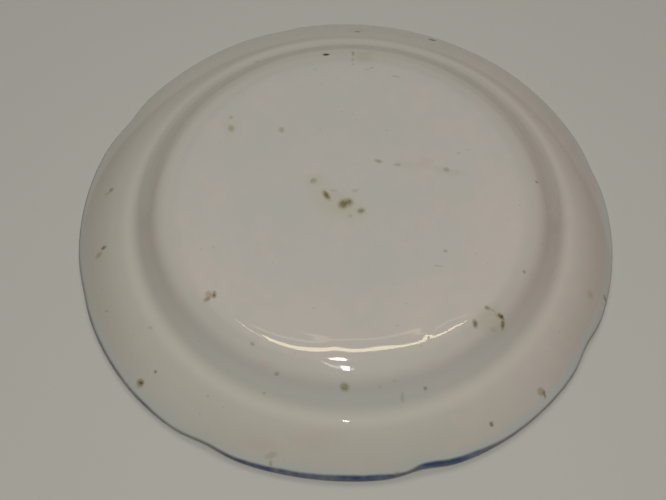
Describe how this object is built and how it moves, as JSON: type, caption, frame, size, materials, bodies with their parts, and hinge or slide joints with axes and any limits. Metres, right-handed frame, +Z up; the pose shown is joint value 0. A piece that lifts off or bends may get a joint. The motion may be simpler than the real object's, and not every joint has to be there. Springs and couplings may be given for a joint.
{
  "type": "glazed dinner plate",
  "caption": "Stained and chipped tin-glazed dinner plate with a softly lobed rim, lying face down so that its flat underside shows.",
  "frame": {"origin": "on the surface that the plate lies on, under the middle of its lobed rim", "axes": "+Z up out of the flat underside, -Y towards the side that the picture is taken from, +X to its right"},
  "size_m": [0.24, 0.2361, 0.0312],
  "materials": {
    "tin_glaze": "glossy off-white tin glaze with fine pits, brown chips and stains, and a blue brushed edge"
  },
  "bodies": {
    "root": {"plate": "tin_glaze"}
  },
  "joints": []
}
